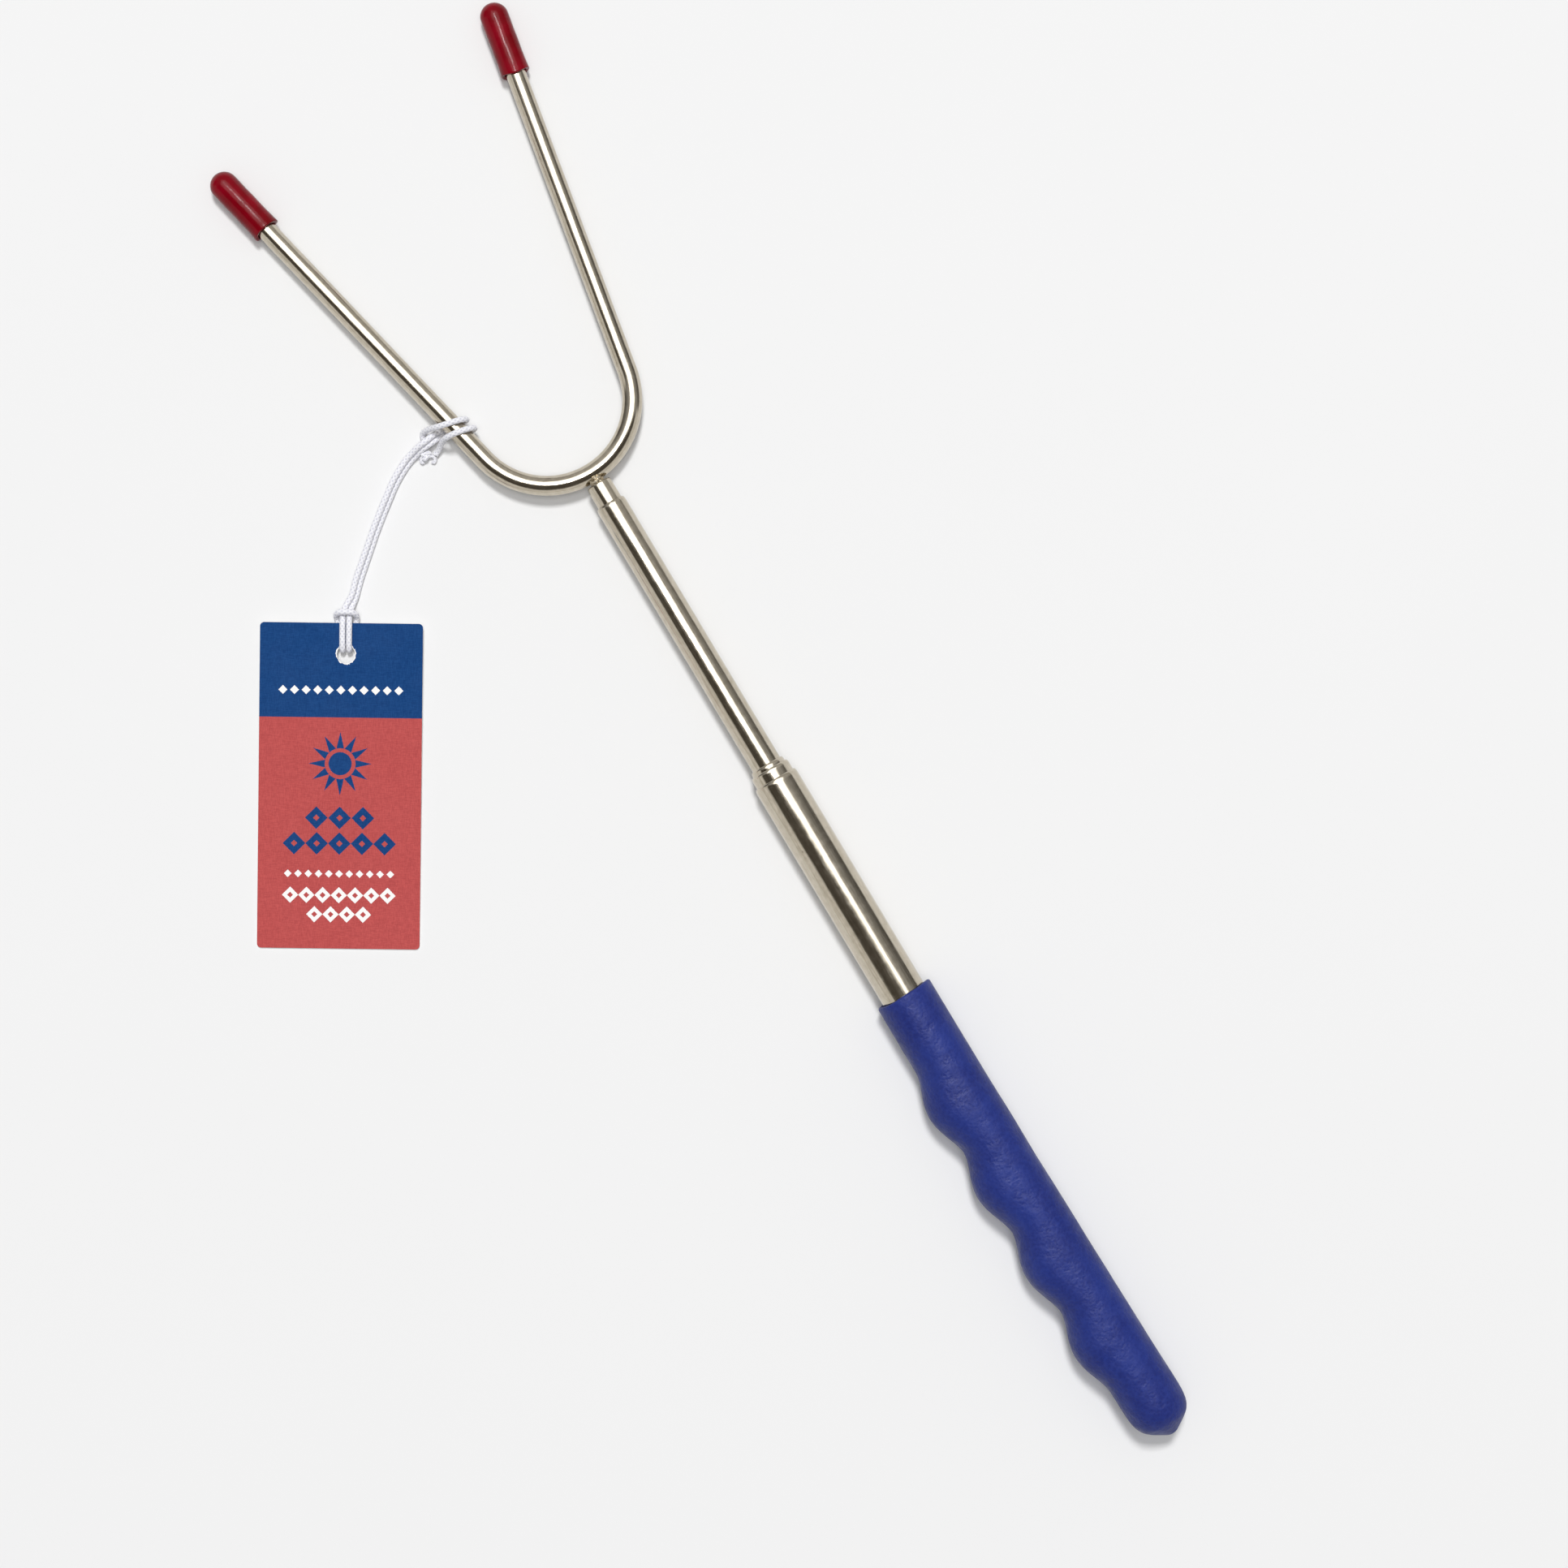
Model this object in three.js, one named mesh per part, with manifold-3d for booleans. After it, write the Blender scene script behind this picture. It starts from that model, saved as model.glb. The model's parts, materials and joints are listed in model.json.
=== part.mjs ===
// Marshmallow roasting fork with a telescopic pole, lying on a table.
// Millimetres, +Z up. The pole runs along Y with the fork at +Y and the finger ridges at -X. The origin is on
// the table, under the middle of the tool without its cord and tag. The fork leans a little towards -X, so the
// pole's axis is 2.15 to +X of the origin.
//
// The pole has five tubes. Each one slides in the next larger one, and two half-shell shims in its necked
// tail rub on the larger tube's bore. The mouth of every tube is rolled in, which stops the shims.

import * as THREE from 'three';
import { mergeVertices } from 'three/addons/utils/BufferGeometryUtils.js';
import Module from 'manifold-3d';

const wasm = await Module();
wasm.setup();

// ---------------------------------------------------------------- driving dimensions

const ROUND_SIDES = 24; // sides of a tube's circle

const TUBE = {
  outerRadius: 5.45, // of the tube that the grip holds
  wall: 0.35,
  lipLength: 1.5, // straight part of a rolled mouth
  lipRound: 0.55, // outer corner of a rolled mouth
  lipFace: 0.05, // least flat left on a mouth's face
  bevel: 0.35, // short cones at a neck's and a lip's ends
  flange: 1.0, // full-width ring behind a neck
  neckDepth: 0.25,
  neckLength: 11.0,
};

const CLEARANCE = {
  nest: 0.25, // between a tube and the bore that it slides in
  mouth: 0.1, // round a tube in the mouth that it slides through
  shimInside: 0.1, // between a shim and the neck that it sits on
  shimOutside: 0.08, // between a shim and the bore that it rubs on
  shimEnd: 0.3, // between a shim and each end of its neck
  stop: 0.4, // between a closed section's tail and what stops it
  grip: 0.3, // between the grip and its tube
  cap: 0.15, // between a tip cap and its prong
  weld: 0.12, // round the weld
};

const GRIP = {
  length: 119.4,
  wall: 1.2,
  tailGrowth: 0.3, // of the sleeve's radius from its mouth to its butt
  lip: 0.6, // round of the mouth's edge
  endWall: 5.0,
  flatRadius: 1.5, // flat end of the butt
  coneInset: 2.25, // of the cone's edge from the sleeve
  coneLength: 2.9,
  shoulderLength: 4.6, // rounded corner between the butt's cone and the sleeve
  ridges: 4,
  ridgeHeight: 2.7,
  ridgePitch: 21.6,
  firstRidge: 91.4, // from the butt
  ridgeSteps: 8, // rings for each ridge
};

const OUTER_MOUTH = 177.6; // from the butt to the outer tube's mouth
const MOUTH_STEPS = [2.7, 1.2, 1.2]; // how far each closed tube's mouth stands out of the one before
const PULLED_OUT = 69.8; // how far the fourth tube is pulled out of the third

const FORK = {
  wireRadius: 2.35,
  wireSides: 12,
  wireSteps: 62,
  bendRadius: 20.0,
  splay: THREE.MathUtils.degToRad(11.5), // each prong from the fork's middle
  lean: THREE.MathUtils.degToRad(1.2), // of the fork's middle from the pole's axis, towards -X
  prongLength: 90.0, // straight part, from the bend to the tip
  stemProud: 5.3, // of the stem's nose above the fourth tube's mouth
  stemGap: 0.6, // between the stem's nose and the bend
  taper: 9.0,
  tipRadius: 0.7,
};

const WELD = { halfWidth: 1.6, halfLength: 1.7, rise: 0.4, setForward: 0.6 }; // rise is over the wire
const STEM_NOSE = 1.6; // thickness of the stem's closed end

const CAP = {
  wall: 0.85,
  length: 17.6,
  endWall: 1.3,
  rim: 0.3,
  sides: 16,
  domeSteps: 5,
};

const SHIM = { slot: 0.7, segments: 9 }; // gap between two half shells, and facets of each

const TAG = {
  width: 38.1,
  height: 76.2,
  thickness: 0.45,
  corner: 1.0,
  holeRadius: 2.15,
  holeFromTop: 7.3,
  holeFromLeft: 20.15,
  turn: THREE.MathUtils.degToRad(-31.6),
  lowEdge: 0.05, // height of the bottom edge over the table
  holeHeight: 1.55, // height of the underside at the hole, which lies on the cord
};

const CORD = {
  radius: 0.7,
  sides: 8,
  gap: 0.3, // between one stretch's solid and the next
  wrapStep: 1.9,
  strandStep: 4.0,
  tagStep: 1.6,
};
const HITCH_FROM_BEND = 9.85; // along the left prong
const HITCH_TURN = THREE.MathUtils.degToRad(11.5); // of the wraps' own directions from the pole's
const TAG_HOLE = [54.4, -21.45]; // from the hitch, away from the prong and along it

// The cord's route. At the prong: away from the prong, along it towards its tip, and height over the table.
const LOWER_WRAP = [
  [7.5, -1.0, 1.0], [6.4, -0.8, 1.5], [5.2, -0.4, 2.6], [3.9, -0.2, 4.5], [2.4, -0.6, 6.75],
  [0, -1.5, 7.8], [-2.4, -2.5, 6.75], [-3.35, -3.0, 4.45], [-2.4, -2.6, 2.15], [0, -1.3, 1.15],
  [2.4, 0.4, 1.1], [4.6, 1.3, 1.7],
];
const LOW_STRAND = [
  [7.0, 1.6, 2.35], [9.2, 1.9, 1.9], [11.3, 1.9, 1.05], [13.3, 1.75, 0.75], [18.3, 0.4, 0.75],
  [23.0, -1.7, 0.75], [29.0, -4.6, 0.75], [34.7, -7.7, 0.75], [40.4, -10.9, 0.75],
];
const UPPER_WRAP = [
  [4.6, 2.5, 2.85], [2.4, 2.0, 1.1], [0, 1.3, 1.15], [-2.4, 0.1, 2.15], [-3.35, -0.2, 4.45],
  [-2.4, 0.3, 6.75], [0, 1.35, 7.8], [2.4, 2.6, 6.75], [3.9, 3.6, 5.0], [5.2, 4.3, 3.2],
  [6.3, 4.6, 1.6], [7.0, 4.0, 0.8], [7.2, 2.7, 0.75], [7.6, 1.2, 0.75],
];
const HIGH_STRAND = [
  [40.8, -10.0, 2.0], [35.1, -6.9, 2.0], [29.4, -3.8, 2.0], [23.4, -0.9, 2.0], [18.7, 1.2, 2.0],
  [13.4, 2.7, 2.0], [11.3, 2.85, 2.3], [9.2, 2.85, 3.1], [7.0, 2.6, 3.5],
];
// At the tag: right of its hole, up from its hole, and height over the table. The first half of the hitch.
const TAG_HITCH = [
  [2.05, 13.5, 0.85], [1.25, 11.3, 1.45], [0.75, 9.4, 2.3], [0.78, 7.0, 2.98], [0.78, 4.4, 2.98],
  [0.78, 2.6, 2.9], [0.78, 1.15, 2.35], [0.78, 0.9, 1.7], [0.82, 1.4, 1.05], [0.95, 2.8, 0.75],
  [1.5, 5.0, 0.75], [2.1, 7.2, 0.8], [2.35, 8.5, 1.5], [2.3, 9.2, 2.6], [1.5, 9.7, 3.6],
  [0, 9.8, 3.95],
];
const TAG_ARRIVAL = [[-0.75, 9.4, 2.35], [-0.1, 11.4, 2.3], [1.1, 13.6, 2.1]]; // the other strand's end
const KNOT = { at: [9.35, -0.4, 1.05], halfSizes: [1.35, 1.05, 1.0] };

// ---------------------------------------------------------------- places worked out from them

// The outer tube's radius first and the fork stem's last.
const tubeRadii = [0, 1, 2, 3, 4].map((i) => TUBE.outerRadius - i * (TUBE.wall + CLEARANCE.nest));
const boreOf = (i) => tubeRadii[i] - TUBE.wall;
const gripBore = tubeRadii[0] + CLEARANCE.grip;
const gripMouth = gripBore + GRIP.wall;
const capRadius = FORK.wireRadius + CLEARANCE.cap + CAP.wall;
const outerTail = GRIP.endWall + CLEARANCE.stop;
const sectionPitch = TUBE.flange + TUBE.neckLength + CLEARANCE.stop;
const closedTails = [0, 1, 2, 3].map((i) => outerTail + TUBE.lipLength + CLEARANCE.stop + i * sectionPitch);
const closedMouths = MOUTH_STEPS.map((_, i) => (
  OUTER_MOUTH + MOUTH_STEPS.slice(0, i + 1).reduce((sum, step) => sum + step, 0)
));
const stemNose = closedMouths[2] + PULLED_OUT + FORK.stemProud;
const bendBottom = stemNose + FORK.stemGap + FORK.wireRadius; // the wire's centre line
const bendCentre = bendBottom + FORK.bendRadius;
const bendEnd = {
  x: FORK.bendRadius * Math.cos(FORK.splay),
  y: bendCentre - FORK.bendRadius * Math.sin(FORK.splay),
};
// Leans a point of the upright fork about the place where it is welded on.
const leaned = (x, y) => new THREE.Vector3(
  x * Math.cos(FORK.lean) - (y - bendBottom) * Math.sin(FORK.lean),
  bendBottom + x * Math.sin(FORK.lean) + (y - bendBottom) * Math.cos(FORK.lean),
  0,
);
const onProng = (side, distance) => leaned(
  side * (bendEnd.x + distance * Math.sin(FORK.splay)),
  bendEnd.y + distance * Math.cos(FORK.splay),
);
const capTip = FORK.prongLength + CLEARANCE.cap + CAP.endWall; // along a prong

// The tool lies on the mouth of its grip and on the farther of its two tip caps. The other clears by 0.02.
const restLip = { y: GRIP.length - GRIP.lip, z: -(gripMouth - GRIP.lip) };
const restCap = { y: onProng(1, capTip - capRadius).y };
const restSpan = Math.hypot(restCap.y - restLip.y, restLip.z);
const tilt = Math.atan2(-restLip.z, restCap.y - restLip.y) - Math.asin((capRadius - GRIP.lip) / restSpan);
const lift = GRIP.lip + restLip.y * Math.sin(tilt) - restLip.z * Math.cos(tilt);

// ---------------------------------------------------------------- materials

const steel = () => new THREE.MeshStandardMaterial({ color: 0xb9b3a2, roughness: 0.22, metalness: 1 });
const bronze = () => new THREE.MeshStandardMaterial({ color: 0xb8863c, roughness: 0.35, metalness: 1 });
const weldMetal = () => new THREE.MeshStandardMaterial({ color: 0x8f8066, roughness: 0.4, metalness: 1 });
const blueVinyl = () => new THREE.MeshStandardMaterial({ color: 0x2c3480, roughness: 0.55, metalness: 0 });
const redVinyl = () => new THREE.MeshStandardMaterial({ color: 0x8c0018, roughness: 0.35, metalness: 0 });
const whiteCord = () => new THREE.MeshStandardMaterial({ color: 0xebebf2, roughness: 0.8, metalness: 0 });
const card = () => new THREE.MeshStandardMaterial({ color: 0xc85a5a, roughness: 0.85, metalness: 0 });

// ---------------------------------------------------------------- helpers

function named(name, geometry, material) {
  const mesh = new THREE.Mesh(geometry, material);
  mesh.name = name;
  return mesh;
}

// Turns a profile of [radius, distance along the axis] pairs about the Y axis.
function turned(profile, sides = ROUND_SIDES) {
  return new THREE.LatheGeometry(profile.map(([r, y]) => new THREE.Vector2(r, y)), sides);
}

// Part of an ellipse as profile points, leaving out its first point.
function arc(centre, radii, from, to, steps) {
  return Array.from({ length: steps }, (_, i) => {
    const angle = from + ((to - from) * (i + 1)) / steps;
    return [centre[0] + radii[0] * Math.cos(angle), centre[1] + radii[1] * Math.sin(angle)];
  });
}

function solid(geometry) {
  const bare = geometry.clone();
  bare.deleteAttribute('normal');
  bare.deleteAttribute('uv');
  const merged = mergeVertices(bare, 1e-4);
  const mesh = new wasm.Mesh({
    numProp: 3,
    vertProperties: new Float32Array(merged.attributes.position.array),
    triVerts: new Uint32Array(merged.index.array),
  });
  return new wasm.Manifold(mesh);
}

function geometryOf(manifold) {
  const mesh = manifold.getMesh();
  const geometry = new THREE.BufferGeometry();
  geometry.setAttribute('position', new THREE.BufferAttribute(new Float32Array(mesh.vertProperties), 3));
  geometry.setIndex(new THREE.BufferAttribute(new Uint32Array(mesh.triVerts), 1));
  return geometry;
}

// ---------------------------------------------------------------- grip

// A rounded swelling for each gap between two fingers, highest at -X and fading out at the top and bottom.
function ridgeAt(y) {
  const along = (GRIP.firstRidge - y) / GRIP.ridgePitch;
  const inside = along > -0.5 && along < GRIP.ridges - 0.5;
  return inside ? (GRIP.ridgeHeight * (1 + Math.cos(2 * Math.PI * along))) / 2 : 0;
}

function gripGeometry() {
  const tailRadius = gripMouth + GRIP.tailGrowth;
  const coneRadius = tailRadius - GRIP.coneInset;
  const shoulder = GRIP.coneLength + GRIP.shoulderLength;
  const straight = GRIP.length - GRIP.lip;
  const outside = (y) => tailRadius - (GRIP.tailGrowth * (y - shoulder)) / (straight - shoulder);
  const lowestRidge = GRIP.firstRidge - (GRIP.ridges - 0.5) * GRIP.ridgePitch;
  const rings = Array.from({ length: GRIP.ridges * GRIP.ridgeSteps + 1 }, (_, i) => (
    lowestRidge + (i * GRIP.ridgePitch) / GRIP.ridgeSteps
  ));
  const corner = new THREE.QuadraticBezierCurve(
    new THREE.Vector2(coneRadius, GRIP.coneLength),
    new THREE.Vector2(coneRadius + GRIP.coneInset / 2, GRIP.coneLength + GRIP.shoulderLength / 4),
    new THREE.Vector2(tailRadius, shoulder),
  ).getPoints(4).map((point) => point.toArray());
  const profile = [
    [0, 0],
    [GRIP.flatRadius, 0],
    ...corner,
    ...rings.filter((y) => y > shoulder + 1 && y < straight - 1).map((y) => [outside(y), y]),
    [gripMouth, straight],
    ...arc([gripMouth - GRIP.lip, straight], [GRIP.lip, GRIP.lip], 0, Math.PI / 2, 3),
    [gripBore, GRIP.length],
    [gripBore, GRIP.endWall],
    [0, GRIP.endWall],
  ];
  const geometry = turned(profile);
  const position = geometry.attributes.position;
  for (let i = 0; i < position.count; i += 1) {
    const x = position.getX(i);
    const y = position.getY(i);
    const z = position.getZ(i);
    const radius = Math.hypot(x, z);
    if (radius > gripBore + CLEARANCE.grip && x < 0) {
      const facing = -x / radius;
      const grown = 1 + (ridgeAt(y) * facing ** 1.5) / radius;
      position.setXYZ(i, x * grown, y, z * grown);
    }
  }
  return geometry;
}

// ---------------------------------------------------------------- tubes

// The rolled mouth of tube i, from its outside to its bore.
function mouthProfile(i, mouth) {
  const radius = tubeRadii[i];
  const throat = tubeRadii[i + 1] + CLEARANCE.mouth;
  const round = Math.min(TUBE.lipRound, radius - throat - TUBE.lipFace);
  return [
    [radius, mouth - round],
    ...arc([radius - round, mouth - round], [round, round], 0, Math.PI / 2, 3),
    [throat, mouth],
    [throat, mouth - TUBE.lipLength],
    [boreOf(i), mouth - TUBE.lipLength - TUBE.bevel],
  ];
}

// The outside of a sliding section's tail: a flange, a neck for the shims and the full width again.
function neckProfile(radius, tail) {
  const neck = radius - TUBE.neckDepth;
  const start = tail + TUBE.flange;
  const end = start + TUBE.neckLength;
  return [
    [radius, tail],
    [radius, start],
    [neck, start + TUBE.bevel],
    [neck, end - TUBE.bevel],
    [radius, end],
  ];
}

function innerNeckProfile(radius, tail) {
  return neckProfile(radius, tail).reverse().map(([r, y]) => [r - TUBE.wall, y]);
}

function outerTube() {
  const radius = tubeRadii[0];
  const rolledTail = tubeRadii[1] - TUBE.wall;
  const profile = [
    [rolledTail, outerTail],
    [radius - TUBE.bevel, outerTail],
    [radius, outerTail + TUBE.bevel],
    ...mouthProfile(0, OUTER_MOUTH),
    [boreOf(0), outerTail + TUBE.lipLength],
    [rolledTail, outerTail + TUBE.lipLength - TUBE.bevel],
    [rolledTail, outerTail],
  ];
  return named('outer_tube', turned(profile), steel());
}

function slidingTube(name, i, tail, mouth) {
  const radius = tubeRadii[i];
  const profile = [
    ...neckProfile(radius, tail),
    ...mouthProfile(i, mouth),
    ...innerNeckProfile(radius, tail),
    [radius, tail],
  ];
  return named(name, turned(profile), steel());
}

function forkStem(tail) {
  const radius = tubeRadii[4];
  const profile = [
    [0, stemNose - STEM_NOSE],
    [boreOf(4), stemNose - STEM_NOSE],
    ...innerNeckProfile(radius, tail),
    ...neckProfile(radius, tail),
    [radius, stemNose - TUBE.bevel],
    [radius - TUBE.bevel, stemNose],
    [0, stemNose],
  ];
  return named('fork_stem', turned(profile), steel());
}

// Two bronze half shells round the neck of section i.
function shims(prefix, i, tail) {
  const inside = tubeRadii[i] - TUBE.neckDepth + CLEARANCE.shimInside;
  const outside = boreOf(i - 1) - CLEARANCE.shimOutside;
  const half = Math.PI / 2 - SHIM.slot / 2 / outside;
  const start = tail + TUBE.flange + TUBE.bevel + CLEARANCE.shimEnd;
  const length = TUBE.neckLength - 2 * (TUBE.bevel + CLEARANCE.shimEnd);
  return ['bottom', 'top'].map((place, k) => {
    const middle = Math.PI / 2 + k * Math.PI;
    const angles = Array.from({ length: SHIM.segments + 1 }, (_, j) => (
      middle - half + (2 * half * j) / SHIM.segments
    ));
    const outline = [
      ...angles.map((a) => new THREE.Vector2(outside * Math.cos(a), outside * Math.sin(a))),
      ...angles.reverse().map((a) => new THREE.Vector2(inside * Math.cos(a), inside * Math.sin(a))),
    ];
    const geometry = new THREE.ExtrudeGeometry(new THREE.Shape(outline), {
      depth: length,
      bevelEnabled: false,
    });
    const mesh = named(`${prefix}_shim_${place}`, geometry, bronze());
    mesh.rotation.x = -Math.PI / 2;
    mesh.position.y = start;
    return mesh;
  });
}

// ---------------------------------------------------------------- fork

// The wire's centre line: a prong, the bend and the other prong.
class ForkLine extends THREE.Curve {
  constructor(straight) {
    super();
    this.straight = straight;
    this.turn = Math.PI - 2 * FORK.splay;
    this.length = 2 * straight + FORK.bendRadius * this.turn;
  }

  getPoint(t, target = new THREE.Vector3()) {
    const s = t * this.length;
    const arcEnd = this.straight + FORK.bendRadius * this.turn;
    if (s < this.straight) {
      return target.copy(onProng(-1, this.straight - s));
    }
    if (s > arcEnd) {
      return target.copy(onProng(1, s - arcEnd));
    }
    const angle = Math.PI + FORK.splay + (s - this.straight) / FORK.bendRadius;
    return target.copy(leaned(
      FORK.bendRadius * Math.cos(angle),
      bendCentre + FORK.bendRadius * Math.sin(angle),
    ));
  }
}

function ring(radius, sides) {
  const points = Array.from({ length: sides }, (_, i) => {
    const angle = (2 * Math.PI * i) / sides;
    return new THREE.Vector2(radius * Math.cos(angle), radius * Math.sin(angle));
  });
  return new THREE.Shape(points);
}

function wireGeometry(radius, straight) {
  return new THREE.ExtrudeGeometry(ring(radius, FORK.wireSides), {
    steps: FORK.wireSteps,
    extrudePath: new ForkLine(straight),
    bevelEnabled: false,
  });
}

// A blunt ground point that joins the end of a prong.
function prongPoint(side) {
  const overlap = 0.5;
  const base = FORK.wireRadius * 0.97;
  const point = turned([
    [0, -FORK.taper - overlap],
    [base, -FORK.taper - overlap],
    [base, -FORK.taper],
    [FORK.tipRadius, -FORK.tipRadius],
    [0, 0],
  ], FORK.wireSides);
  point.rotateZ(FORK.lean - side * FORK.splay);
  const tip = onProng(side, FORK.prongLength);
  point.translate(tip.x, tip.y, tip.z);
  return point;
}

function forkWire() {
  const wire = solid(wireGeometry(FORK.wireRadius, FORK.prongLength - FORK.taper));
  const pointed = wire.add(solid(prongPoint(-1))).add(solid(prongPoint(1)));
  return named('fork_wire', geometryOf(pointed), steel());
}

// The weld fills the space between the stem's nose and the bend, and runs a little way up the wire.
function forkWeld() {
  const bead = new THREE.SphereGeometry(1, 16, 12);
  bead.scale(WELD.halfWidth, WELD.halfLength, FORK.wireRadius + WELD.rise);
  bead.translate(0, stemNose + WELD.setForward, 0);
  const stemRoom = turned([
    [0, stemNose - 3],
    [tubeRadii[4] + CLEARANCE.weld, stemNose - 3],
    [tubeRadii[4] + CLEARANCE.weld, stemNose + CLEARANCE.weld],
    [0, stemNose + CLEARANCE.weld],
  ]);
  const wireRoom = wireGeometry(FORK.wireRadius + CLEARANCE.weld, FORK.bendRadius);
  const weld = solid(bead).subtract(solid(stemRoom)).subtract(solid(wireRoom));
  return named('fork_weld', geometryOf(weld), weldMetal());
}

function tipCap(name, side) {
  const bore = FORK.wireRadius + CLEARANCE.cap;
  const domeEnd = -capRadius;
  const mouth = -CAP.length;
  const profile = [
    [0, domeEnd + bore],
    ...arc([0, domeEnd], [bore, bore], Math.PI / 2, 0, CAP.domeSteps),
    [bore, mouth],
    [capRadius - CAP.rim, mouth],
    [capRadius, mouth + CAP.rim],
    [capRadius, domeEnd],
    ...arc([0, domeEnd], [capRadius, capRadius], 0, Math.PI / 2, CAP.domeSteps),
  ];
  const cap = named(name, turned(profile, CAP.sides), redVinyl());
  cap.rotation.z = FORK.lean - side * FORK.splay;
  cap.position.copy(onProng(side, capTip));
  return cap;
}

// ---------------------------------------------------------------- cord and tag

const hitch = onProng(-1, HITCH_FROM_BEND);
const acrossProng = new THREE.Vector2(-Math.cos(HITCH_TURN), -Math.sin(HITCH_TURN));
const alongProng = new THREE.Vector2(-Math.sin(HITCH_TURN), Math.cos(HITCH_TURN));

// A point of the cord's route near the prong, on the table.
function atProng([away, along, height]) {
  return new THREE.Vector3(
    hitch.x + away * acrossProng.x + along * alongProng.x,
    hitch.y + away * acrossProng.y + along * alongProng.y,
    height,
  );
}

const tagHole = atProng([...TAG_HOLE, TAG.holeHeight]);

// A point of the cord's route near the tag, on the table.
function atTag([right, up, height]) {
  const turnedBy = new THREE.Vector3(right, up, 0).applyAxisAngle(new THREE.Vector3(0, 0, 1), TAG.turn);
  return new THREE.Vector3(tagHole.x + turnedBy.x, tagHole.y + turnedBy.y, height);
}

const firstTagHalf = TAG_HITCH.map(atTag);
const mirrored = ([right, up, height]) => [-right, up, height];
const secondTagHalf = TAG_HITCH.slice(3, -1).reverse().map(mirrored).map(atTag);
const routeParts = [
  LOWER_WRAP.map(atProng),
  LOW_STRAND.map(atProng),
  [...firstTagHalf, ...secondTagHalf, ...TAG_ARRIVAL.map(atTag)],
  HIGH_STRAND.map(atProng),
  UPPER_WRAP.map(atProng),
];
const cordLine = new THREE.CatmullRomCurve3(routeParts.flat(), false, 'centripetal');
cordLine.arcLengthDivisions = 2000;

// The part of the cord's line between two distances along it.
class Stretch extends THREE.Curve {
  constructor(line, from, to) {
    super();
    this.line = line;
    this.from = from / line.getLength();
    this.to = to / line.getLength();
  }

  getPoint(t, target = new THREE.Vector3()) {
    return target.copy(this.line.getPointAt(this.from + (this.to - this.from) * t));
  }
}

// How far along the cord each part of the route starts.
function partStarts() {
  const lengths = cordLine.getLengths();
  const spans = routeParts.flat().length - 1;
  let index = 0;
  return routeParts.map((part) => {
    const at = Math.round((index / spans) * (lengths.length - 1));
    index += part.length;
    return lengths[at];
  });
}

function cord() {
  const starts = [...partStarts(), cordLine.getLength() + CORD.gap];
  const stretches = [
    ['cord_lower_wrap', CORD.wrapStep],
    ['cord_low_strand', CORD.strandStep],
    ['cord_tag_hitch', CORD.tagStep],
    ['cord_high_strand', CORD.strandStep],
    ['cord_upper_wrap', CORD.wrapStep],
  ];
  return stretches.map(([name, step], i) => {
    const from = starts[i];
    const to = starts[i + 1] - CORD.gap;
    const geometry = new THREE.ExtrudeGeometry(ring(CORD.radius, CORD.sides), {
      steps: Math.round((to - from) / step),
      extrudePath: new Stretch(cordLine, from, to),
      bevelEnabled: false,
    });
    return named(name, geometry, whiteCord());
  });
}

function cordKnot() {
  const knot = named('cord_knot', new THREE.SphereGeometry(1, 10, 8), whiteCord());
  knot.scale.set(...KNOT.halfSizes);
  knot.rotation.z = Math.PI + HITCH_TURN;
  knot.position.copy(atProng(KNOT.at));
  return knot;
}

// The card, with its hole at its own origin and its underside at its own z = 0.
function hangTag() {
  const left = -TAG.holeFromLeft;
  const right = left + TAG.width;
  const top = TAG.holeFromTop;
  const bottom = top - TAG.height;
  const c = TAG.corner;
  const outline = new THREE.Shape();
  outline.moveTo(left + c, bottom);
  outline.lineTo(right - c, bottom);
  outline.absarc(right - c, bottom + c, c, -Math.PI / 2, 0);
  outline.absarc(right - c, top - c, c, 0, Math.PI / 2);
  outline.absarc(left + c, top - c, c, Math.PI / 2, Math.PI);
  outline.absarc(left + c, bottom + c, c, Math.PI, 1.5 * Math.PI);
  const hole = new THREE.Path();
  hole.absarc(0, 0, TAG.holeRadius, 0, 2 * Math.PI, true);
  outline.holes.push(hole);
  const geometry = new THREE.ExtrudeGeometry(outline, {
    depth: TAG.thickness,
    curveSegments: 8,
    bevelEnabled: false,
  });
  const tag = named('hang_tag', geometry, card());
  tag.rotation.order = 'ZYX';
  tag.rotation.x = Math.asin((TAG.holeHeight - TAG.lowEdge) / (TAG.height - TAG.holeFromTop));
  tag.rotation.z = TAG.turn;
  tag.position.copy(tagHole);
  return tag;
}

// ---------------------------------------------------------------- assembly

const tool = new THREE.Group();
tool.add(named('grip', gripGeometry(), blueVinyl()));
tool.add(outerTube());
tool.add(slidingTube('second_tube', 1, closedTails[0], closedMouths[0]));
tool.add(slidingTube('third_tube', 2, closedTails[1], closedMouths[1]));
tool.add(slidingTube('fourth_tube', 3, closedTails[2] + PULLED_OUT, closedMouths[2] + PULLED_OUT));
tool.add(forkStem(closedTails[3] + PULLED_OUT));
tool.add(...shims('second', 1, closedTails[0]));
tool.add(...shims('third', 2, closedTails[1]));
tool.add(...shims('fourth', 3, closedTails[2] + PULLED_OUT));
tool.add(...shims('stem', 4, closedTails[3] + PULLED_OUT));
tool.add(forkWire(), forkWeld());
tool.add(tipCap('tip_cap_left', -1), tipCap('tip_cap_right', 1));
tool.rotation.x = -tilt;
tool.position.z = lift;

const onTable = new THREE.Group();
onTable.add(...cord(), cordKnot(), hangTag());

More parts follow.
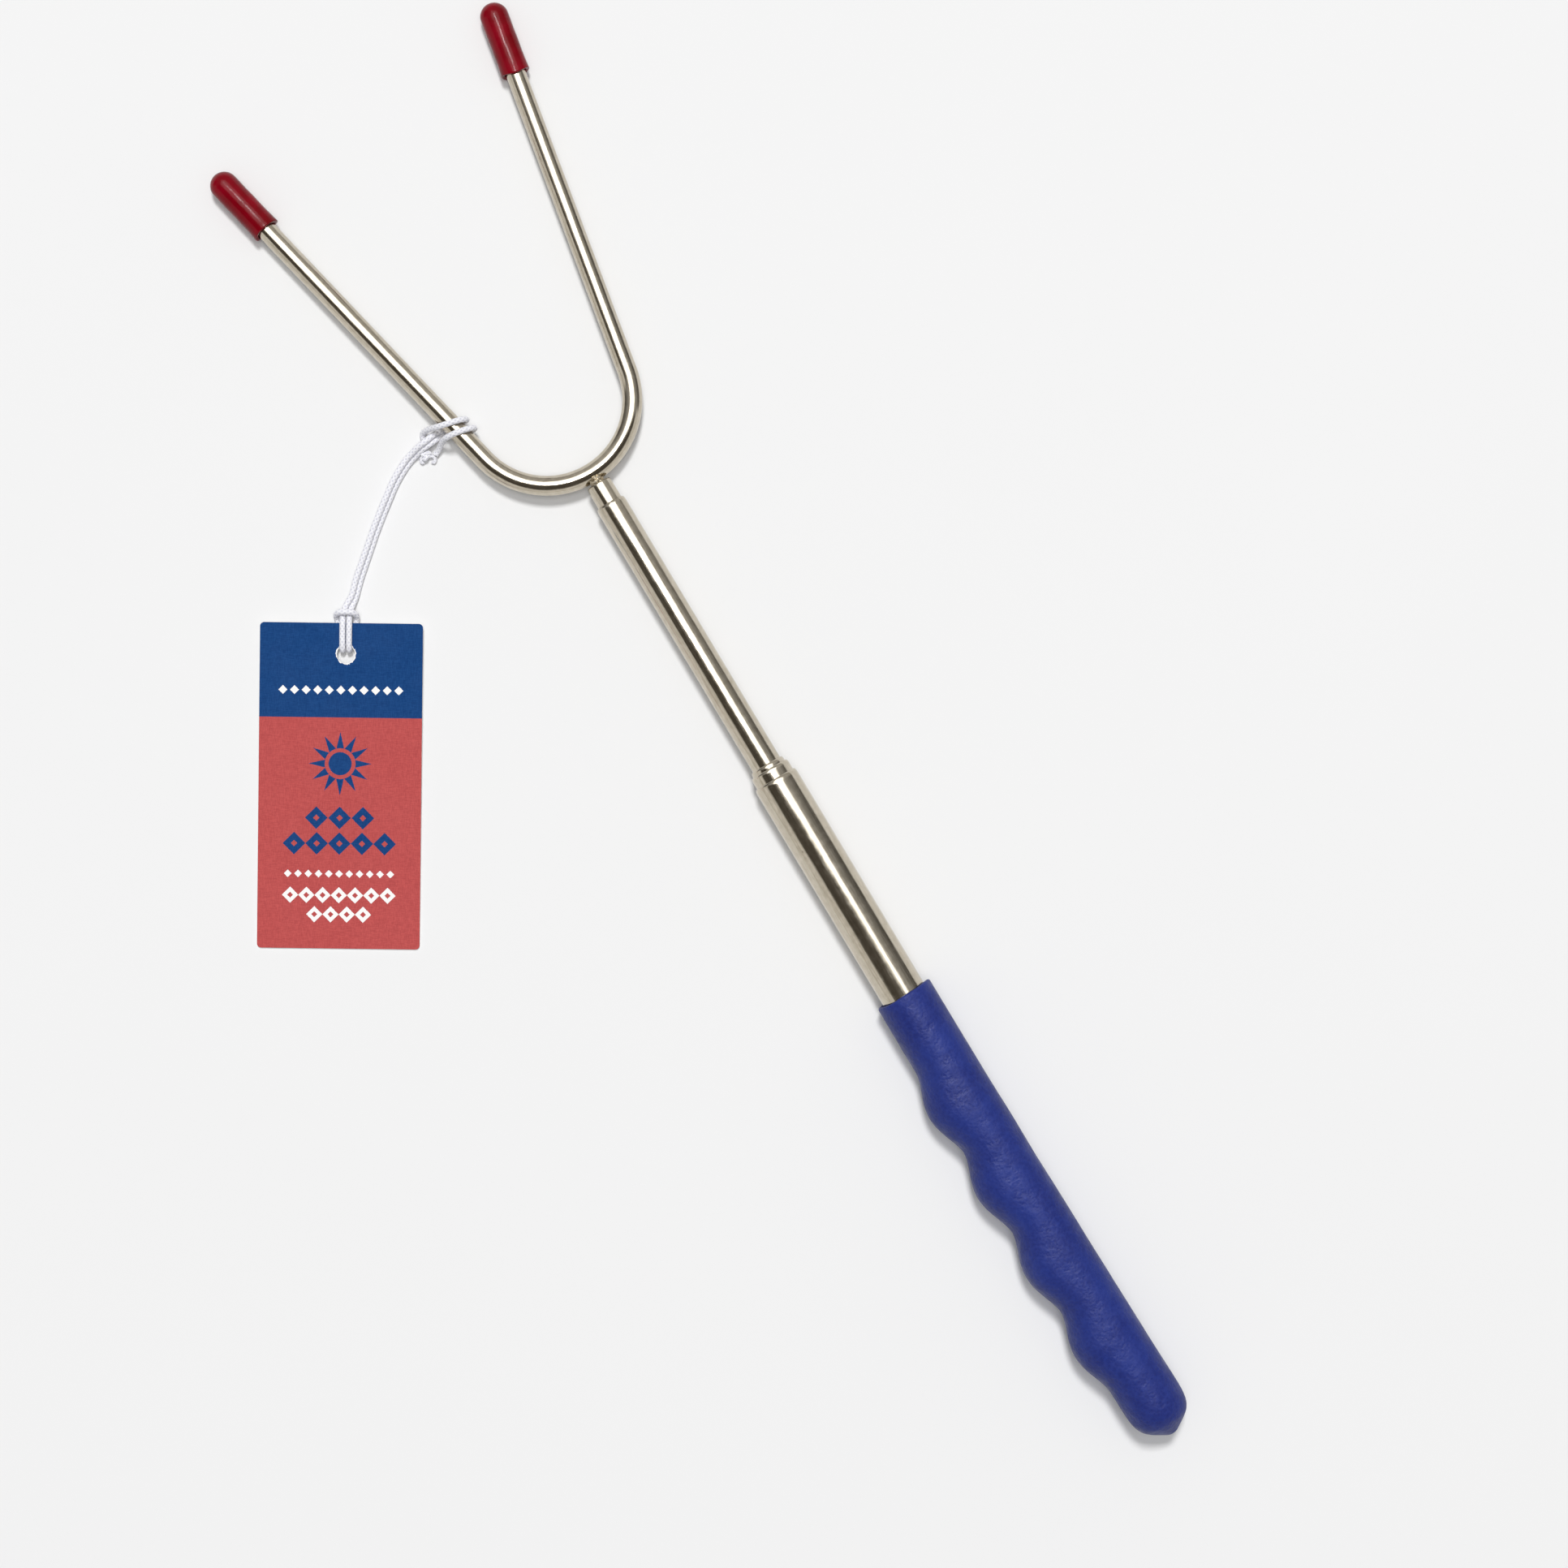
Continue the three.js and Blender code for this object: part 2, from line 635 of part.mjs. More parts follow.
const group = new THREE.Group();
group.add(tool, onTable);
const extent = new THREE.Box3().setFromObject(tool, true);
group.position.x = -(extent.min.x + extent.max.x) / 2;
group.position.y = -(extent.min.y + extent.max.y) / 2;

export default group;
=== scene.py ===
"""A marshmallow roasting fork with a telescopic pole, lying on a pale table in soft studio light.

Lengths are millimetres in the pole's own frame, +Y from the butt to the fork and +Z up, unless a name says
otherwise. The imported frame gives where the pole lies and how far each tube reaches.
"""

import json
import math

import bmesh
import bpy
from mathutils import Matrix, Vector, noise

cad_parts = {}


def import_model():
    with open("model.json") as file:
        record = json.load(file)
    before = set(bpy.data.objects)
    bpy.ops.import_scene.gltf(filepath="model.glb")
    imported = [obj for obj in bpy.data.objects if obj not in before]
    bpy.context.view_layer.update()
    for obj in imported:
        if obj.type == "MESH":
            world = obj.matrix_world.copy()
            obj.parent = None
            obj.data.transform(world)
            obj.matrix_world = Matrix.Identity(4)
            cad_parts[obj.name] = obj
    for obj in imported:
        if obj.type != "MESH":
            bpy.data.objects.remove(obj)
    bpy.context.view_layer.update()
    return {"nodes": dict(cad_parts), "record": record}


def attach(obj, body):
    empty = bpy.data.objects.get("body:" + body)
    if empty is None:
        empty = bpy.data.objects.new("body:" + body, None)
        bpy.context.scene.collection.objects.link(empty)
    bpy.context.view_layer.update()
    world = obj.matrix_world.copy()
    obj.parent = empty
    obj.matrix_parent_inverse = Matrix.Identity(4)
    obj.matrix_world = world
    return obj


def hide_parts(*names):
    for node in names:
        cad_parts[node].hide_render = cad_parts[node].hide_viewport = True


MM = 0.001

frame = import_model()

# ---------------------------------------------------------------- driving dimensions

CAMERA_CENTRE = (0.00335, -0.00802)  # metres, on the table
CAMERA_HEIGHT = 0.85  # metres
CAMERA_TURN = math.radians(-30.86)
LENS = 83.3
TABLE_SIZE = 6  # metres
TABLE_FALL = {"start": 0.19, "run": 0.5, "drop": 0.014}  # metres, beyond the fork's tips

TUBE = {
    "wall": 0.35,
    "lip": 1.5,
    "crown": 0.1,
    "bevel": 0.35,
    "flange": 1.0,
    "neck_end": 12.0,  # from a sliding section's tail
    "neck_depth": 0.25,
    "mouth_play": 0.1,
    "sides": 96,
}
LIP_ROUNDS = (1.3, 0.95, 0.9, 1.0)  # how far each tube's rolled mouth is rounded along the tube
STEM_NOSE = 1.6
STEM_GAP = 0.6  # between the stem's nose and the bend
GRIP = {
    "wall": 1.2,
    "end_wall": 7.0,
    "mouth_radius": 6.95,
    "tail_radius": 7.25,
    "lip": 0.6,
    "ridges": 4,
    "ridge_height": 2.7,
    "ridge_pitch": 21.6,
    "ridge_power": 1.6,  # over 1 for valleys broader than the tops
    "first_ridge": 91.4,
    "butt_shift": 1.4,
    "sides": 112,
    "step": 0.6,
}
FORK = {
    "wire": 2.35,
    "bend": 20.0,
    "splay": math.radians(11.5),
    "lean": math.radians(1.2),
    "prong": 90.0,
    "taper": 9.0,
    "tip": 0.7,
}
CAP = {"wall": 0.85, "clearance": 0.15, "end_wall": 1.3, "length": 17.6, "flare": 0.12, "sides": 64}
WELD = {"half_width": 1.75, "half_length": 1.75, "rise": 0.35, "forward": 0.7}
CORD_RADIUS = 0.7
KNOT_PLACE = (9.3, 0.4, 1.2)  # away from the prong, along it and height over the table
KNOT_CORD = 0.5  # radius of the cord where it is pulled tight
TAIL_RADIUS = 0.45
HITCH_FROM_BEND = 9.85  # along the left prong
HITCH_TURN = math.radians(11.5)
TAG_HOLE = (54.4, -21.45)  # from the hitch, away from the prong and along it
TAG_HOLE_HEIGHT = 1.55
TAG_LOW_EDGE = 0.05  # height of the tag's bottom edge
TAG = {
    "turn": math.radians(-31.6),
    "left": -20.15,  # this one and the next three are from the middle of its hole
    "right": 17.95,
    "top": 7.3,
    "bottom": -68.9,
    "hole": 2.15,
    "band": 22.1,  # height of the blue band
}

# The cord's route. At the prong, a point is away from it, along it towards its tip, and up from the table.
LOWER_WRAP = [
    (7.5, -1.0, 1.0), (6.4, -0.8, 1.5), (5.2, -0.4, 2.6), (3.9, -0.2, 4.5), (2.4, -0.6, 6.75),
    (0, -1.5, 7.8), (-2.4, -2.5, 6.75), (-3.35, -3.0, 4.45), (-2.4, -2.6, 2.15), (0, -1.3, 1.15),
    (2.4, 0.4, 1.1), (4.6, 1.3, 1.7),
]
LOW_STRAND = [
    (7.0, 1.6, 2.35), (9.2, 1.9, 1.9), (11.3, 1.9, 1.05), (13.3, 1.75, 0.75), (18.3, 0.4, 0.75),
    (23.0, -1.7, 0.75), (29.0, -4.6, 0.75), (34.7, -7.7, 0.75), (40.4, -10.9, 0.75),
]
HIGH_STRAND = [
    (40.8, -10.0, 2.0), (35.1, -6.9, 2.0), (29.4, -3.8, 2.0), (23.4, -0.9, 2.0), (18.7, 1.2, 2.0),
    (13.4, 2.7, 2.0), (11.3, 2.85, 2.3), (9.2, 2.85, 3.1), (7.0, 2.6, 3.5),
]
UPPER_WRAP = [
    (4.6, 2.5, 2.85), (2.4, 2.0, 1.1), (0, 1.3, 1.15), (-2.4, 0.1, 2.15), (-3.35, -0.2, 4.45),
    (-2.4, 0.3, 6.75), (0, 1.35, 7.8), (2.4, 2.6, 6.75), (3.9, 3.6, 5.0), (5.2, 4.3, 3.2),
    (6.3, 4.6, 1.6), (7.0, 4.0, 0.8), (7.2, 2.7, 0.75), (7.6, 1.2, 0.75),
]
# The first half of the hitch in the tag: right of its hole, up from its hole, and up from the table.
TAG_HITCH = [
    (2.05, 13.5, 0.85), (1.25, 11.3, 1.45), (0.75, 9.4, 2.3), (0.78, 7.0, 2.98), (0.78, 4.4, 2.98),
    (0.78, 2.6, 2.9), (0.78, 1.15, 2.35), (0.78, 0.9, 1.7), (0.82, 1.4, 1.05), (0.95, 2.8, 0.75),
    (1.5, 5.0, 0.75), (2.1, 7.2, 0.8), (2.35, 8.5, 1.5), (2.3, 9.2, 2.6), (1.5, 9.7, 3.6),
    (0, 9.8, 3.95),
]
TAG_ARRIVAL = [(-0.75, 9.4, 2.35), (-0.1, 11.4, 2.3), (1.1, 13.6, 2.1)]
KNOT_TAILS = {
    "knot_tail_short": [(9.7, 0.5, 1.2), (10.6, 0.6, 0.9), (11.1, 0.0, 0.65), (10.8, -0.7, 0.55)],
    "knot_tail_long": [
        (8.9, -0.2, 1.1), (8.3, -0.8, 0.95), (8.2, -1.5, 0.8), (8.8, -2.0, 0.65), (9.5, -1.7, 0.55),
    ],
}

LEFT = -1
RIGHT = 1

# ---------------------------------------------------------------- places worked out from the frame

butt = next(mount for mount in frame["record"]["mounts"] if mount["name"] == "butt_end")
pole_along = -Vector(butt["axis"]).normalized()
pole_side = Vector((1, 0, 0))
pole_up = pole_side.cross(pole_along)
pole_start = Vector(butt["pos_m"])
POLE = Matrix.Translation(pole_start) @ (
    Matrix((pole_side, pole_along, pole_up)).transposed().to_4x4() @ Matrix.Scale(MM, 4)
)


def pole_span(node):
    """How near and how far from the butt a node reaches along the pole, and its largest radius."""
    to_pole = POLE.inverted()
    points = [to_pole @ vertex.co for vertex in frame["nodes"][node].data.vertices]
    along = [point.y for point in points]
    return min(along), max(along), max(math.hypot(point.x, point.z) for point in points)


tube_nodes = ("outer_tube", "second_tube", "third_tube", "fourth_tube", "fork_stem")
tube_spans = [pole_span(node) for node in tube_nodes]
grip_length = pole_span("grip")[1]
grip_bore = GRIP["mouth_radius"] - GRIP["wall"]
stem_nose = tube_spans[4][1]
bend_bottom = stem_nose + STEM_GAP + FORK["wire"]
bend_centre = bend_bottom + FORK["bend"]
bend_end = (FORK["bend"] * math.cos(FORK["splay"]), bend_centre - FORK["bend"] * math.sin(FORK["splay"]))
cap_bore = FORK["wire"] + CAP["clearance"]
cap_radius = cap_bore + CAP["wall"]


def leaned(x, y):
    """A point of the upright fork, leaned about the place where the fork is welded on."""
    from_weld = Vector((x, y - bend_bottom, 0))
    from_weld.rotate(Matrix.Rotation(FORK["lean"], 3, "Z"))
    return Vector((from_weld.x, from_weld.y + bend_bottom, 0))


def on_prong(side, distance):
    """A point on a prong's centre line, at a distance from the end of the bend. side is LEFT or RIGHT."""
    return leaned(
        side * (bend_end[0] + distance * math.sin(FORK["splay"])),
        bend_end[1] + distance * math.cos(FORK["splay"]),
    )


# The cord and the tag lie on the table, so their frame isn't tilted with the pole.
TABLE = Matrix.Translation(Vector((*pole_start[:2], 0))) @ Matrix.Scale(MM, 4)
hitch = on_prong(LEFT, HITCH_FROM_BEND)
across_prong = Vector((-math.cos(HITCH_TURN), -math.sin(HITCH_TURN), 0))
along_prong = Vector((-math.sin(HITCH_TURN), math.cos(HITCH_TURN), 0))


def at_prong(away, along, height):
    """A point near the prong where the cord is tied, on the table."""
    return Vector((hitch.x, hitch.y, height)) + away * across_prong + along * along_prong


tag_hole = at_prong(*TAG_HOLE, TAG_HOLE_HEIGHT)


def at_tag(right, up, height):
    """A point near the tag's hole, on the table."""
    turned_by = Matrix.Rotation(TAG["turn"], 3, "Z") @ Vector((right, up, 0))
    return Vector((tag_hole.x + turned_by.x, tag_hole.y + turned_by.y, height))


# ---------------------------------------------------------------- camera

camera = bpy.data.objects.new("camera", bpy.data.cameras.new("camera"))
camera.data.lens = LENS
camera.data.sensor_width = 36
camera.location = (*CAMERA_CENTRE, CAMERA_HEIGHT)
camera.rotation_euler = (0, 0, CAMERA_TURN)
bpy.context.collection.objects.link(camera)
bpy.context.scene.camera = camera
bpy.context.scene.view_settings.view_transform = "Standard"

# ---------------------------------------------------------------- shader wiring


class Wiring:
    """Adds nodes to one node tree. A value may be a number, a colour or another node's socket."""

    def __init__(self, tree):
        self.tree = tree

    def add(self, kind, **settings):
        node = self.tree.nodes.new(kind)
        for name, value in settings.items():
            setattr(node, name, value)
        return node

    def put(self, socket, value):
        if isinstance(value, bpy.types.NodeSocket):
            self.tree.links.new(value, socket)
        else:
            socket.default_value = value

    def math(self, operation, *values):
        node = self.add("ShaderNodeMath", operation=operation)
        for socket, value in zip(node.inputs, values):
            self.put(socket, value)
        return node.outputs[0]

    def product(self, first, second):
        """Two vectors, or a vector and three numbers, multiplied part by part."""
        node = self.add("ShaderNodeVectorMath", operation="MULTIPLY")
        self.put(node.inputs[0], first)
        self.put(node.inputs[1], second)
        return node.outputs["Vector"]

    def parts(self, vector):
        """A vector's three numbers."""
        node = self.add("ShaderNodeSeparateXYZ")
        self.put(node.inputs[0], vector)
        return node.outputs

    def ramp(self, value, low, high, to_low=0.0, to_high=1.0):
        """The value moved smoothly from one range to another, and held at its ends."""
        node = self.add("ShaderNodeMapRange", interpolation_type="SMOOTHSTEP")
        for socket, number in zip(node.inputs, (value, low, high, to_low, to_high)):
            self.put(socket, number)
        return node.outputs[0]

    def mix(self, share, first, second):
        """A colour between two, by share."""
        node = self.add("ShaderNodeMix", data_type="RGBA")
        for socket, value in zip((node.inputs[0], node.inputs[6], node.inputs[7]), (share, first, second)):
            self.put(socket, value)
        return node.outputs[2]

    def noise(self, vector, scale, detail=3.0, roughness=0.5):
        node = self.add("ShaderNodeTexNoise")
        self.put(node.inputs["Vector"], vector)
        self.put(node.inputs["Scale"], scale)
        self.put(node.inputs["Detail"], detail)
        self.put(node.inputs["Roughness"], roughness)
        return node.outputs["Fac"]

    def group(self, tree, **values):
        node = self.add("ShaderNodeGroup", node_tree=tree)
        for name, value in values.items():
            self.put(node.inputs[name.replace("_", " ")], value)
        return node

    def bump(self, height, distance, strength=1.0):
        """A normal bent by a height whose full range is that many metres."""
        node = self.add("ShaderNodeBump")
        self.put(node.inputs["Height"], height)
        self.put(node.inputs["Distance"], distance)
        self.put(node.inputs["Strength"], strength)
        return node.outputs[0]


def new_group(name, inputs, outputs):
    """A shader node group with named float and vector inputs and float outputs, and its wiring."""
    tree = bpy.data.node_groups.new(name, "ShaderNodeTree")
    for label, default in inputs.items():
        kind = "NodeSocketVector" if default is None else "NodeSocketFloat"
        socket = tree.interface.new_socket(label, in_out="INPUT", socket_type=kind)
        if default is not None:
            socket.default_value = default
    for label in outputs:
        tree.interface.new_socket(label, in_out="OUTPUT", socket_type="NodeSocketFloat")
    wiring = Wiring(tree)
    return tree, wiring, wiring.add("NodeGroupInput").outputs, wiring.add("NodeGroupOutput").inputs


def make_grain_group():
    """Fine lines drawn along a tube or wire. Unrolled is across and along the piece, in millimetres."""
    tree, w, given, out = new_group(
        "drawn_grain",
        {"Unrolled": None, "Scale": 1.0, "Stretch": 0.02, "Depth": 0.5},
        ("Lines", "Patches"),
    )
    stretch = w.add("ShaderNodeCombineXYZ")
    w.put(stretch.inputs[0], 1.0)
    w.put(stretch.inputs[1], 1.0)
    w.put(stretch.inputs[2], given["Stretch"])
    drawn = w.product(given["Unrolled"], stretch.outputs[0])
    fine = w.noise(drawn, given["Scale"], 4.0, 0.65)
    w.put(out["Lines"], w.math("POWER", fine, w.math("ADD", given["Depth"], 0.5)))
    w.put(out["Patches"], w.noise(given["Unrolled"], w.math("MULTIPLY", given["Scale"], 0.12), 2.0, 0.5))
    return tree


def make_skin_group():
    """The skin of moulded or dipped vinyl: fine pimples, and soft clouds of colour and gloss."""
    tree, w, given, out = new_group(
        "vinyl_skin",
        {"Position": None, "Pimple Scale": 2.0, "Cloud Scale": 0.15},
        ("Pimples", "Clouds", "Creases"),
    )
    cells = w.add("ShaderNodeTexVoronoi", feature="SMOOTH_F1")
    w.put(cells.inputs["Vector"], given["Position"])
    w.put(cells.inputs["Scale"], given["Pimple Scale"])
    w.put(cells.inputs["Smoothness"], 0.6)
    mottle = w.noise(given["Position"], w.math("MULTIPLY", given["Pimple Scale"], 0.7), 4.0, 0.6)
    w.put(out["Pimples"], w.math("ADD", w.math("MULTIPLY", cells.outputs["Distance"], 0.55), mottle))
    w.put(out["Clouds"], w.noise(given["Position"], given["Cloud Scale"], 3.0, 0.55))
    crease_scale = w.math("MULTIPLY", given["Cloud Scale"], 3.0)
    w.put(out["Creases"], w.noise(given["Position"], crease_scale, 2.0, 0.4))
    return tree


def make_specks_group():
    """Sparse dust and tiny marks from handling."""
    tree, w, given, out = new_group("specks", {"Position": None, "Scale": 0.6, "Size": 0.1}, ("Specks",))
    cells = w.add("ShaderNodeTexVoronoi", feature="F1")
    w.put(cells.inputs["Vector"], given["Position"])
    w.put(cells.inputs["Scale"], given["Scale"])
    core = w.math("MULTIPLY", given["Size"], 0.5)
    w.put(out["Specks"], w.ramp(cells.outputs["Distance"], core, given["Size"], 1.0, 0.0))
    return tree


grain = make_grain_group()
skin = make_skin_group()
specks = make_specks_group()


def new_material(name):
    material = bpy.data.materials.new(name)
    material.use_nodes = True
    wiring = Wiring(material.node_tree)
    return material, wiring, material.node_tree.nodes["Principled BSDF"].inputs


def unrolled_of(w):
    """Across and along a turned or swept piece, in millimetres."""
    return w.add("ShaderNodeAttribute", attribute_name="unrolled").outputs["Vector"]


def millimetres(w):
    """The place on the piece itself, in millimetres."""
    place = w.add("ShaderNodeTexCoord").outputs["Object"]
    return w.product(place, (1000, 1000, 1000))


LIGHT_STEEL = (0.67, 0.61, 0.51, 1)
DARK_STEEL = (0.47, 0.42, 0.33, 1)


def drawn_steel(name, line_scale, smooth, rough):
    """Bright nickel-coloured steel with fine lines along it. Its roughness goes from smooth to rough."""
    material, w, shader = new_material(name)
    unrolled = unrolled_of(w)
    lines = w.group(grain, Unrolled=unrolled, Scale=line_scale, Stretch=0.03, Depth=0.6)
    marks = w.group(specks, Position=unrolled, Scale=0.16, Size=0.05)
    patches = w.math("MULTIPLY", lines.outputs["Patches"], 0.3)
    tone = w.math("MULTIPLY_ADD", lines.outputs["Lines"], 0.7, patches)
    colour = w.mix(w.ramp(tone, 0.3, 0.7), DARK_STEEL, LIGHT_STEEL)
    faint_marks = w.math("MULTIPLY", marks.outputs["Specks"], 0.35)
    w.put(shader["Base Color"], w.mix(faint_marks, colour, (0.2, 0.17, 0.13, 1)))
    w.put(shader["Metallic"], 1.0)
    w.put(shader["Roughness"], w.ramp(tone, 0.3, 0.75, smooth, rough))
    w.put(shader["Normal"], w.bump(lines.outputs["Lines"], 0.00001, 0.7))
    return material


def weld_metal():
    """A straw and brown heat tint over a rippled bead."""
    material, w, shader = new_material("weld_metal")
    place = millimetres(w)
    tint = w.noise(place, 0.9, 3.0, 0.6)
    ripple = w.noise(place, 2.6, 4.0, 0.6)
    straw = w.mix(w.ramp(tint, 0.35, 0.65), (0.42, 0.33, 0.2, 1), (0.66, 0.6, 0.48, 1))
    w.put(shader["Base Color"], w.mix(w.ramp(ripple, 0.55, 0.75), straw, (0.1, 0.07, 0.045, 1)))
    w.put(shader["Metallic"], 1.0)
    w.put(shader["Roughness"], w.ramp(ripple, 0.3, 0.7, 0.18, 0.45))
    w.put(shader["Normal"], w.bump(ripple, 0.00025, 0.8))
    return material


def shim_bronze():
    """Spring bronze, rubbed bright along its length."""
    material, w, shader = new_material("shim_bronze")
    place = millimetres(w)
    rubbed = w.noise(w.product(place, (3.0, 0.15, 3.0)), 1.2, 3.0, 0.6)
    w.put(shader["Base Color"], w.mix(w.ramp(rubbed, 0.35, 0.65), (0.5, 0.3, 0.12, 1), (0.8, 0.58, 0.3, 1)))
    w.put(shader["Metallic"], 1.0)
    w.put(shader["Roughness"], w.ramp(rubbed, 0.3, 0.7, 0.45, 0.25))
    w.put(shader["Normal"], w.bump(rubbed, 0.00002, 0.6))
    return material


def grip_vinyl():
    """Soft blue vinyl with a fine moulded skin."""
    material, w, shader = new_material("grip_vinyl")
    place = millimetres(w)
    surface = w.group(skin, Position=place, Pimple_Scale=1.5, Cloud_Scale=0.12)
    lint = w.group(specks, Position=place, Scale=0.35, Size=0.07)
    clouds = w.ramp(surface.outputs["Clouds"], 0.35, 0.7)
    blue = w.mix(clouds, (0.007, 0.016, 0.14, 1), (0.01, 0.024, 0.18, 1))
    # The blue is lighter where the skin's pimple pattern stands highest.
    raised_lighter_blue = w.mix(w.ramp(surface.outputs["Pimples"], 0.5, 1.05, 0.0, 0.4), blue, (0.02, 0.04, 0.24, 1))
    faint_lint = w.math("MULTIPLY", lint.outputs["Specks"], 0.15)
    w.put(shader["Base Color"], w.mix(faint_lint, raised_lighter_blue, (0.2, 0.22, 0.45, 1)))
    w.put(shader["Roughness"], w.ramp(surface.outputs["Creases"], 0.3, 0.7, 0.42, 0.55))
    shader["Specular IOR Level"].default_value = 0.35
    height = w.math("ADD", w.math("MULTIPLY", surface.outputs["Pimples"], 0.5), surface.outputs["Creases"])
    w.put(shader["Normal"], w.bump(height, 0.0003, 0.7))
    return material


def cap_vinyl():
    """Dipped red vinyl: glossy, with slow waves and clouds of a darker red from the dip."""
    material, w, shader = new_material("cap_vinyl")
    place = millimetres(w)
    surface = w.group(skin, Position=place, Pimple_Scale=0.9, Cloud_Scale=0.16)
    red = w.mix(w.ramp(surface.outputs["Clouds"], 0.3, 0.7), (0.15, 0.0, 0.003, 1), (0.22, 0.0, 0.008, 1))
    w.put(shader["Base Color"], red)
    w.put(shader["Roughness"], w.ramp(surface.outputs["Creases"], 0.3, 0.7, 0.14, 0.2))
    shader["Specular IOR Level"].default_value = 0.18
    height = w.math("ADD", w.math("MULTIPLY", surface.outputs["Pimples"], 0.08), surface.outputs["Clouds"])
    w.put(shader["Normal"], w.bump(height, 0.00025, 0.5))
    return material


def cord_elastic():
    """White braided elastic. Its threads cross over each other round the cord."""
    material, w, shader = new_material("cord_elastic")
    x, y, travelled = w.parts(unrolled_of(w))
    turn = w.math("ARCTAN2", y, x)
    along = w.math("MULTIPLY", travelled, 5.2)
    right = w.math("SINE", w.math("ADD", w.math("MULTIPLY", turn, 4.0), along))
    left = w.math("SINE", w.math("SUBTRACT", w.math("MULTIPLY", turn, 4.0), along))
    braid = w.math("MAXIMUM", right, left)
    fuzz = w.noise(millimetres(w), 7.0, 3.0, 0.6)
    # Painted shade: the braid is darker and bluer in the grooves between its threads.
    light = w.mix(w.ramp(braid, -0.4, 0.7), (0.62, 0.62, 0.7, 1), (0.86, 0.86, 0.9, 1))
    w.put(shader["Base Color"], w.mix(w.ramp(fuzz, 0.35, 0.75, 0.0, 0.3), light, (0.93, 0.93, 0.95, 1)))
    w.put(shader["Roughness"], w.ramp(fuzz, 0.3, 0.7, 0.7, 0.9))
    shader["Sheen Weight"].default_value = 0.3
    w.put(shader["Normal"], w.bump(w.math("ADD", braid, fuzz), 0.00005, 0.8))
    return material


# ---------------------------------------------------------------- tag print


def diamond_row(w, x, y, centre, count, pitch, half, hollow):
    """A row of diamonds, each with a hole of its own shape. PINGPONG repeats one shape at every pitch."""
    from_middle = w.math("SUBTRACT", x, centre[0])
    from_far_left = w.math("ADD", from_middle, pitch * (100 if count % 2 else 100.5))
    across = w.math("PINGPONG", from_far_left, pitch / 2)
    up = w.math("ABSOLUTE", w.math("SUBTRACT", y, centre[1]))
    away = w.math("ADD", across, up)
    inked = w.math("MULTIPLY", w.math("LESS_THAN", away, half), w.math("GREATER_THAN", away, hollow))
    in_row = w.math("LESS_THAN", w.math("ABSOLUTE", from_middle), count * pitch / 2)
    return w.math("MULTIPLY", inked, in_row)


def sun(w, x, y, centre, disc, rays_from, rays_to, count):
    """A plain disc with pointed rays round it."""
    right = w.math("SUBTRACT", x, centre[0])
    up = w.math("SUBTRACT", y, centre[1])
    away = w.math("SQRT", w.math("ADD", w.math("POWER", right, 2.0), w.math("POWER", up, 2.0)))
    turn = w.math("ADD", w.math("ARCTAN2", up, right), 4 * math.pi)
    aside = w.math("MULTIPLY", w.math("PINGPONG", turn, math.pi / count), away)
    pointed = w.math("LESS_THAN", aside, w.math("MULTIPLY", w.math("SUBTRACT", rays_to, away), 0.24))
    ray = w.math("MULTIPLY", pointed, w.math("GREATER_THAN", away, rays_from))
    return w.math("MAXIMUM", ray, w.math("LESS_THAN", away, disc))


def any_of(w, *masks):
    total = masks[0]
    for mask in masks[1:]:
        total = w.math("MAXIMUM", total, mask)
    return total


def make_print_group():
    """The tag's plain printed pattern. Place is right of the hole and up from it, in millimetres."""
    tree, w, given, out = new_group("tag_print", {"Place": None}, ("Blue", "White", "Torn"))
    edge = w.math("MULTIPLY", w.math("SUBTRACT", w.noise(given["Place"], 4.0, 2.0, 0.5), 0.5), 0.18)
    right, up, _ = w.parts(given["Place"])
    x = w.math("ADD", right, edge)
    y = w.math("ADD", up, edge)
    middle = (TAG["left"] + TAG["right"]) / 2
    w.put(out["Blue"], any_of(
        w,
        w.math("GREATER_THAN", up, TAG["top"] - TAG["band"]),
        sun(w, x, y, (middle, -25.6), 2.7, 3.6, 7.4, 12),
        diamond_row(w, x, y, (middle, -38.3), 3, 5.45, 2.65, 0.75),
        diamond_row(w, x, y, (middle, -44.3), 5, 5.3, 2.65, 0.75),
    ))
    w.put(out["White"], any_of(
        w,
        diamond_row(w, x, y, (middle, -8.4), 11, 2.71, 1.05, 0.0),
        diamond_row(w, x, y, (middle, -51.4), 11, 2.4, 0.9, 0.0),
        diamond_row(w, x, y, (middle, -56.4), 7, 3.8, 1.9, 0.7),
        diamond_row(w, x, y, (middle, -60.9), 4, 3.8, 1.9, 0.7),
    ))
    ragged = w.math("MULTIPLY_ADD", w.noise(given["Place"], 1.6, 3.0, 0.6), 0.9, TAG["hole"] - 0.2)
    from_hole = w.add("ShaderNodeVectorMath", operation="LENGTH")
    w.put(from_hole.inputs[0], given["Place"])
    w.put(out["Torn"], w.math("LESS_THAN", from_hole.outputs["Value"], ragged))
    return tree


